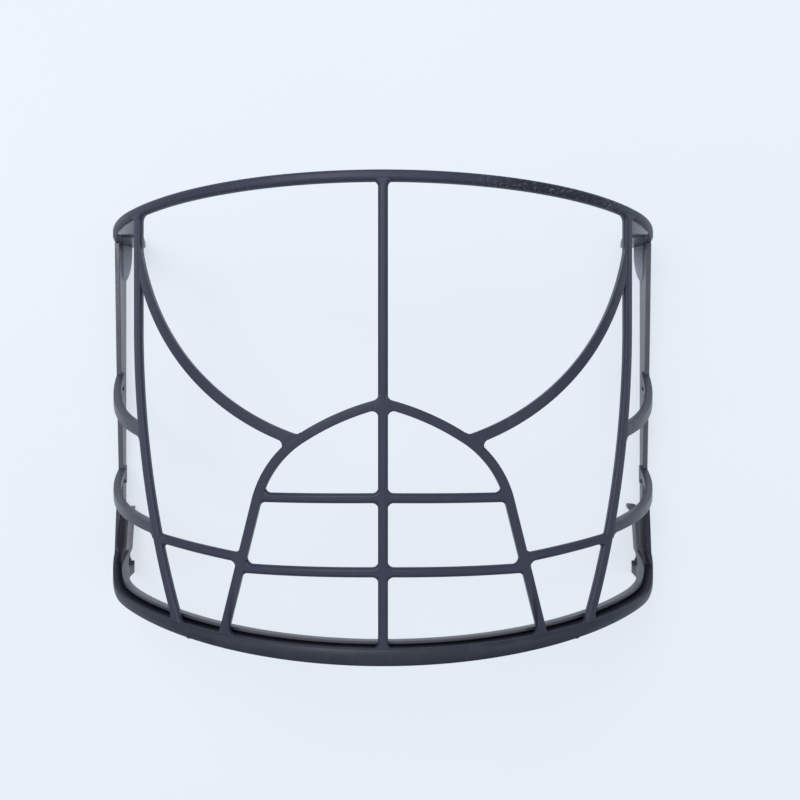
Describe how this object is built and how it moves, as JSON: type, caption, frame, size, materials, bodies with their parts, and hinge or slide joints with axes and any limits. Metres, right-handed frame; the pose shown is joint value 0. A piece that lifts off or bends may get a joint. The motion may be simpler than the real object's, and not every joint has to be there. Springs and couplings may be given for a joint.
{
  "type": "mesh face guard",
  "caption": "Dark satin moulded cage for the front of a face: curved brow and chin rims joined by slim upright, cheek, mouth and jaw bars, with side rails and a grooved chin channel.",
  "frame": {"origin": "midway across the width and midway from brow to chin, on the flat rear edges that the guard lies on", "axes": "+X across the face to the right of the picture, +Y towards the brow, +Z out of the front of the guard"},
  "size_m": [0.228, 0.1615, 0.09],
  "materials": {
    "brow_rim": "satin",
    "centre_bar": "satin",
    "cheek_bar_left": "satin",
    "cheek_bar_right": "satin",
    "chin_channel_floor": "satin",
    "chin_inner_wall": "satin",
    "chin_rim": "satin",
    "ear_left": "satin",
    "ear_right": "satin",
    "jaw_bar_left": "satin",
    "jaw_bar_right": "satin",
    "lower_loop_left": "satin",
    "lower_loop_right": "satin",
    "lower_mouth_bar_left": "satin",
    "lower_mouth_bar_right": "satin",
    "mouth_arch_left": "satin",
    "mouth_arch_right": "satin",
    "rail_left": "satin",
    "rail_right": "satin",
    "upper_loop_left": "satin",
    "upper_loop_right": "satin",
    "upper_mouth_bar_left": "satin",
    "upper_mouth_bar_right": "satin",
    "upright_left": "satin",
    "upright_right": "satin"
  },
  "bodies": {
    "root": {"brow_rim": "brow_rim", "centre_bar": "centre_bar", "cheek_bar_left": "cheek_bar_left", "cheek_bar_right": "cheek_bar_right", "chin_channel_floor": "chin_channel_floor", "chin_inner_wall": "chin_inner_wall", "chin_rim": "chin_rim", "ear_left": "ear_left", "ear_right": "ear_right", "jaw_bar_left": "jaw_bar_left", "jaw_bar_right": "jaw_bar_right", "lower_loop_left": "lower_loop_left", "lower_loop_right": "lower_loop_right", "lower_mouth_bar_left": "lower_mouth_bar_left", "lower_mouth_bar_right": "lower_mouth_bar_right", "mouth_arch_left": "mouth_arch_left", "mouth_arch_right": "mouth_arch_right", "rail_left": "rail_left", "rail_right": "rail_right", "upper_loop_left": "upper_loop_left", "upper_loop_right": "upper_loop_right", "upper_mouth_bar_left": "upper_mouth_bar_left", "upper_mouth_bar_right": "upper_mouth_bar_right", "upright_left": "upright_left", "upright_right": "upright_right"}
  },
  "joints": []
}
